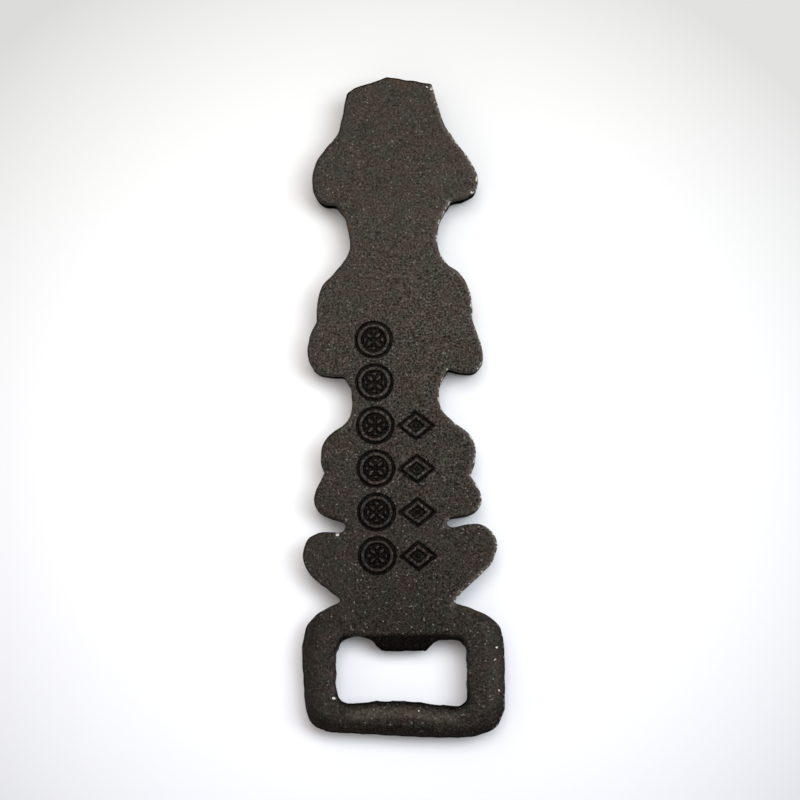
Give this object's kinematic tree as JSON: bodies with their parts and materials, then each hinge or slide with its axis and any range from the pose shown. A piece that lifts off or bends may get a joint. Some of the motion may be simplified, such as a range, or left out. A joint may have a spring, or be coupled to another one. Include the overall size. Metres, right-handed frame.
{
  "type": "bottle opener",
  "caption": "Flat cast-iron souvenir bottle opener: a lobed handle ending in a rounded loop with a wedge-shaped tooth that lifts a crown cap.",
  "frame": {"origin": "centre of the bounding box in X and Y, on the surface that the opener lies on, front down", "axes": "+Z out of the back face; +Y from the loop to the crown of the handle; +X to the right, seen from the back"},
  "size_m": [0.0422, 0.1416, 0.0072],
  "materials": {
    "iron": "as-cast sand skin, blackened, matt"
  },
  "bodies": {
    "root": {"opener_casting": "iron"}
  },
  "joints": []
}
